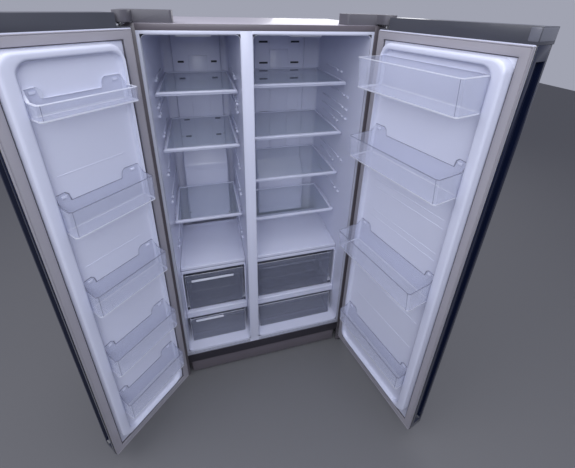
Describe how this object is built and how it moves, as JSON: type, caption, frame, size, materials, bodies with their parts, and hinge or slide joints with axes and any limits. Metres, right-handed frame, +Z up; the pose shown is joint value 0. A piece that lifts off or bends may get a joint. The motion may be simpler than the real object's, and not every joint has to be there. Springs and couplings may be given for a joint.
{
  "type": "side by side refrigerator",
  "caption": "Side by side refrigerator with two hinged doors standing open, sliding glass shelves, clear drawers and door bins; keeps food cold and frozen",
  "frame": {"origin": "on the floor under the middle of the cabinet's front face, 12 mm in front of the line through the two front feet; the cabinet lies behind it (+Y) and the doors in front of it", "axes": "+X to the right as a user faces the open doors, +Y into the cabinet, +Z up"},
  "size_m": [1.3559, 1.1411, 1.782],
  "materials": {
    "case_paint": "satin",
    "rail_paint": "satin",
    "door_paint": "gloss",
    "dark_plastic": "gloss",
    "cover_plastic": "matte",
    "white_plastic": "satin",
    "lamp_plastic": "gloss",
    "clear_plastic": "polished",
    "shelf_glass": "polished",
    "foam": "matte",
    "gasket_rubber": "matte",
    "plated_steel": "satin",
    "sheet_steel": "satin",
    "coil_aluminium": "satin",
    "black_steel": "satin",
    "black_plastic": "matte"
  },
  "bodies": {
    "cabinet": {"left_side_panel": "case_paint", "right_side_panel": "case_paint", "top_panel": "case_paint", "kick_plate": "case_paint", "front_rail": "rail_paint", "hinge_covers": "cover_plastic", "freezer_liner": "white_plastic", "fridge_liner": "white_plastic", "centre_divider": "white_plastic", "freezer_duct_cover": "white_plastic", "fridge_duct_cover": "white_plastic", "freezer_drawer_cover": "white_plastic", "fridge_drawer_cover": "white_plastic", "lamp_covers": "lamp_plastic", "cabinet_foam": "foam", "upper_hinges": "plated_steel", "lower_hinges": "plated_steel", "base_frame": "plated_steel", "back_panel": "sheet_steel", "compressor_cover": "sheet_steel", "evaporator": "coil_aluminium", "compressor": "black_steel", "condenser": "black_steel", "drain_pan": "black_plastic", "mains_inlet": "black_plastic", "levelling_feet": "black_plastic"},
    "freezer_door": {"freezer_door_skin": "door_paint", "freezer_door_foam": "foam", "freezer_door_liner": "white_plastic", "freezer_door_gasket": "gasket_rubber", "freezer_door_top_cap": "dark_plastic", "freezer_door_bottom_cap": "dark_plastic", "freezer_door_edge_trim": "dark_plastic", "freezer_bin_top": "clear_plastic", "freezer_bins": "clear_plastic"},
    "fridge_door": {"fridge_door_skin": "door_paint", "fridge_door_foam": "foam", "fridge_door_liner": "white_plastic", "fridge_door_gasket": "gasket_rubber", "fridge_door_top_cap": "dark_plastic", "fridge_door_bottom_cap": "dark_plastic", "fridge_door_edge_trim": "dark_plastic", "fridge_bin_top": "clear_plastic", "fridge_bins": "clear_plastic", "fridge_bin_low": "clear_plastic"},
    "freezer_shelf_1_body": {"freezer_shelf_1": "shelf_glass"},
    "freezer_shelf_2_body": {"freezer_shelf_2": "shelf_glass"},
    "freezer_shelf_3_body": {"freezer_shelf_3": "shelf_glass"},
    "fridge_shelf_1_body": {"fridge_shelf_1": "shelf_glass"},
    "fridge_shelf_2_body": {"fridge_shelf_2": "shelf_glass"},
    "fridge_shelf_3_body": {"fridge_shelf_3": "shelf_glass"},
    "fridge_shelf_4_body": {"fridge_shelf_4": "shelf_glass"},
    "freezer_drawer_upper_body": {"freezer_drawer_upper": "clear_plastic"},
    "freezer_drawer_lower_body": {"freezer_drawer_lower": "clear_plastic"},
    "fridge_drawer_upper_body": {"fridge_drawer_upper": "clear_plastic"},
    "fridge_drawer_lower_body": {"fridge_drawer_lower": "clear_plastic"},
    "evaporator_fan_body": {"evaporator_fan": "black_plastic"},
    "condenser_fan_body": {"condenser_fan": "black_plastic"},
    "left_roller_body": {"left_roller": "black_plastic"},
    "right_roller_body": {"right_roller": "black_plastic"}
  },
  "joints": [
    {"name": "freezer_door_hinge", "type": "hinge", "parent": "cabinet", "child": "freezer_door", "pos_m": [-0.442, -0.04, 0.92], "axis": [0, 0, -1], "range_deg": [-137.4, 2.6]},
    {"name": "fridge_door_hinge", "type": "hinge", "parent": "cabinet", "child": "fridge_door", "pos_m": [0.442, -0.04, 0.92], "axis": [0, 0, 1], "range_deg": [-104.2, 35.8]},
    {"name": "freezer_shelf_1_slide", "type": "slide", "parent": "cabinet", "child": "freezer_shelf_1_body", "axis": [0, -1, 0], "range_m": [0, 0.2]},
    {"name": "freezer_shelf_2_slide", "type": "slide", "parent": "cabinet", "child": "freezer_shelf_2_body", "axis": [0, -1, 0], "range_m": [0, 0.2]},
    {"name": "freezer_shelf_3_slide", "type": "slide", "parent": "cabinet", "child": "freezer_shelf_3_body", "axis": [0, -1, 0], "range_m": [0, 0.2]},
    {"name": "fridge_shelf_1_slide", "type": "slide", "parent": "cabinet", "child": "fridge_shelf_1_body", "axis": [0, -1, 0], "range_m": [0, 0.2]},
    {"name": "fridge_shelf_2_slide", "type": "slide", "parent": "cabinet", "child": "fridge_shelf_2_body", "axis": [0, -1, 0], "range_m": [0, 0.2]},
    {"name": "fridge_shelf_3_slide", "type": "slide", "parent": "cabinet", "child": "fridge_shelf_3_body", "axis": [0, -1, 0], "range_m": [0, 0.2]},
    {"name": "fridge_shelf_4_slide", "type": "slide", "parent": "cabinet", "child": "fridge_shelf_4_body", "axis": [0, -1, 0], "range_m": [0, 0.2]},
    {"name": "freezer_drawer_upper_slide", "type": "slide", "parent": "cabinet", "child": "freezer_drawer_upper_body", "axis": [0, -1, 0], "range_m": [0, 0.3]},
    {"name": "freezer_drawer_lower_slide", "type": "slide", "parent": "cabinet", "child": "freezer_drawer_lower_body", "axis": [0, -1, 0], "range_m": [0, 0.3]},
    {"name": "fridge_drawer_upper_slide", "type": "slide", "parent": "cabinet", "child": "fridge_drawer_upper_body", "axis": [0, -1, 0], "range_m": [0, 0.19]},
    {"name": "fridge_drawer_lower_slide", "type": "slide", "parent": "cabinet", "child": "fridge_drawer_lower_body", "axis": [0, -1, 0], "range_m": [0, 0.3]},
    {"name": "evaporator_fan_spin", "type": "hinge", "parent": "cabinet", "child": "evaporator_fan_body", "pos_m": [-0.237, 0.5, 0.986], "axis": [0, 1, 0], "continuous": true},
    {"name": "condenser_fan_spin", "type": "hinge", "parent": "cabinet", "child": "condenser_fan_body", "pos_m": [0.178, 0.496, 0.15], "axis": [1, 0, 0], "continuous": true},
    {"name": "left_roller_spin", "type": "hinge", "parent": "cabinet", "child": "left_roller_body", "pos_m": [-0.4403, 0.556, 0.022], "axis": [1, 0, 0], "continuous": true},
    {"name": "right_roller_spin", "type": "hinge", "parent": "cabinet", "child": "right_roller_body", "pos_m": [0.4403, 0.556, 0.022], "axis": [1, 0, 0], "continuous": true}
  ]
}
